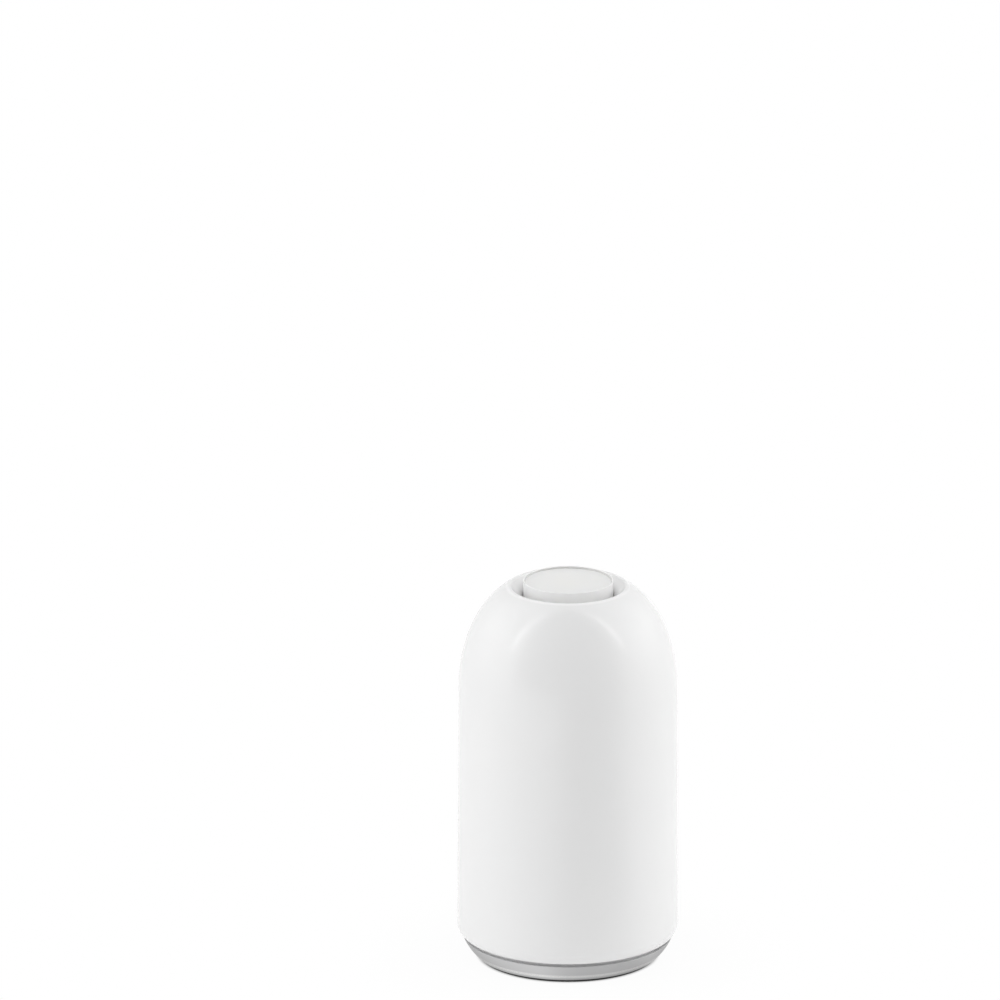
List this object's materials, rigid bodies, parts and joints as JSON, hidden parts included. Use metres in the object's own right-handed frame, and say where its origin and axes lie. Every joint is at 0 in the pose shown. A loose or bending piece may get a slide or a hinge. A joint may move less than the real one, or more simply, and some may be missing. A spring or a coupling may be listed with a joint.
{
  "type": "stylus cap",
  "caption": "Bullet-shaped white stylus cap with a tapered metal band at its mouth, a magnet that holds it on, and a sprung button in its crown that pushes it off.",
  "frame": {"origin": "centre of the mouth rim, on the cap's axis, in the plane of its lowest face", "axes": "+Z along the cap's axis from the mouth up to the crown; the cap is round, so X and Y are any two directions across it"},
  "size_m": [0.0088, 0.0088, 0.0158],
  "materials": {
    "shell_white": "polished moulded plastic",
    "band_steel": "fine turned, satin",
    "magnet_nickel": "nickel plated",
    "washer_zinc": "zinc plated",
    "sleeve_white": "fine spark-eroded texture",
    "bush_brass": "turned",
    "button_milky": "milky, satin top",
    "pin_steel": "ground",
    "spring_steel": "drawn wire",
    "foot_silicone": "matt silicone"
  },
  "bodies": {
    "cap": {"shell": "shell_white", "mouth_band": "band_steel", "ring_magnet": "magnet_nickel", "pole_washer": "washer_zinc", "sleeve": "sleeve_white", "guide_bush": "bush_brass", "return_spring": "spring_steel"},
    "plunger": {"button": "button_milky", "plunger_pin": "pin_steel", "ejector_foot": "foot_silicone"}
  },
  "joints": [
    {"name": "button_press", "type": "slide", "parent": "cap", "child": "plunger", "axis": [0, 0, -1], "range_m": [0, 0.0008], "stiffness_N_per_m": 390, "springref_m": -0.00115, "deforming": ["return_spring"]}
  ]
}
